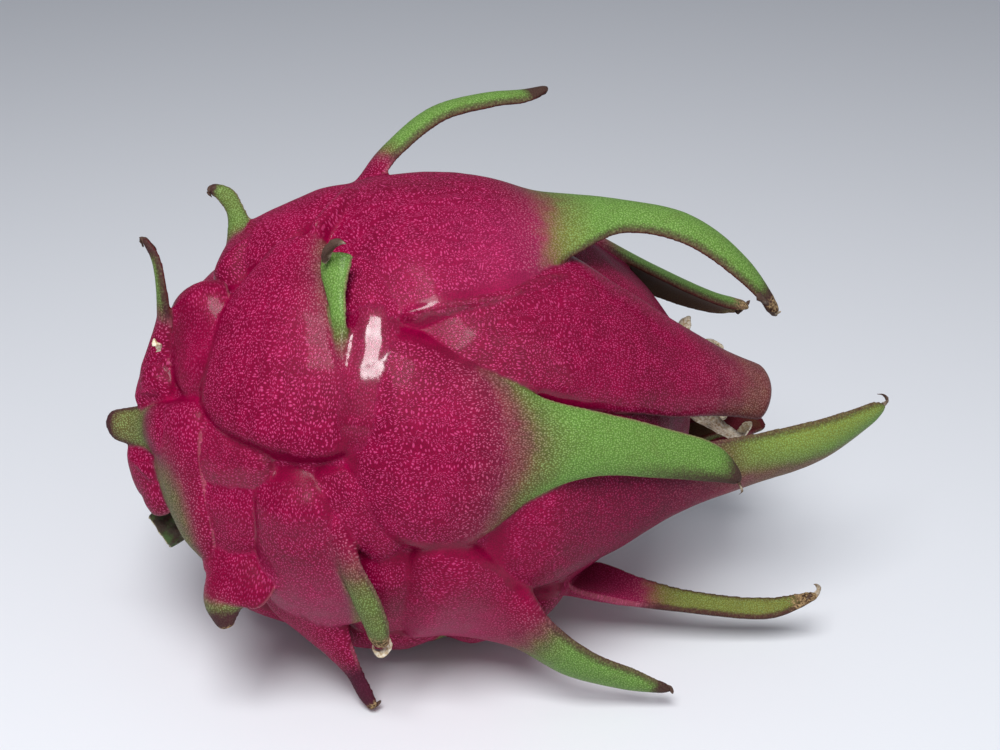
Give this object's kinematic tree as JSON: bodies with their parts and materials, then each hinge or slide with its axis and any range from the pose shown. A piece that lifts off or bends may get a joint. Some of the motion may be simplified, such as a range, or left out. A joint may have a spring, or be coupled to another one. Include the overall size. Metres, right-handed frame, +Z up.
{
  "type": "dragon fruit",
  "caption": "Whole dragon fruit lying on its side: egg-shaped red rind grown over with long leafy green-tipped bracts, a short stem stub and a withered flower in the crown cup.",
  "frame": {"origin": "on the small flat spot that the fruit rests on, under its middle, where the rest mount is", "axes": "+X along the fruit's axis from the stem end to the crown, +Z up, -Y towards the side seen first"},
  "size_m": [0.152, 0.1012, 0.1012],
  "materials": {
    "rind": "waxy magenta-red skin with fine pale stipple, satin to glossy, bract blades fading to yellow-green with dark tips",
    "stem": "cut green stem with a pale fibrous end, matte",
    "dried_flower": "withered cream and brown papery strips, matte"
  },
  "bodies": {
    "root": {"fruit": "rind", "stem_stub": "stem", "dried_flower": "dried_flower"}
  },
  "joints": []
}
